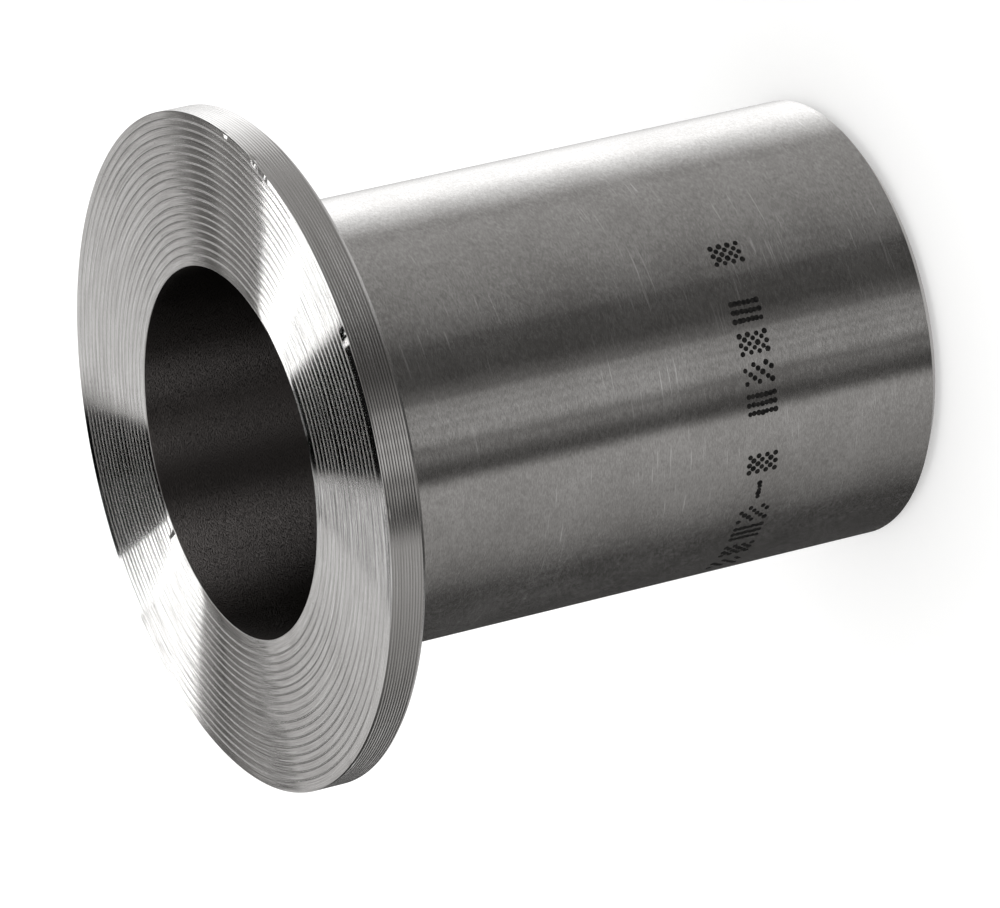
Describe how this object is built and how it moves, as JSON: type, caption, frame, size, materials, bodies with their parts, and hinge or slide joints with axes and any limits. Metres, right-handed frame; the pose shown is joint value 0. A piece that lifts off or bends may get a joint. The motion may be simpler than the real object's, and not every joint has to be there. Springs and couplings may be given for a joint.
{
  "type": "lap joint stub end",
  "caption": "Short turned tube with a bevelled weld end and a flat, ring-serrated lap that seals against a gasket and carries a loose backing flange.",
  "frame": {"origin": "centre of the weld end, the end that it stands on", "axes": "+Z runs along the bore from the weld end to the lap face; the part is round, so +X and +Y are free"},
  "size_m": [0.0508, 0.0508, 0.0508],
  "materials": {
    "turned_stainless": "turned stainless steel: bright serrated face and rim, satin barrel, dark bore"
  },
  "bodies": {
    "root": {"stub_end": "turned_stainless"}
  },
  "joints": []
}
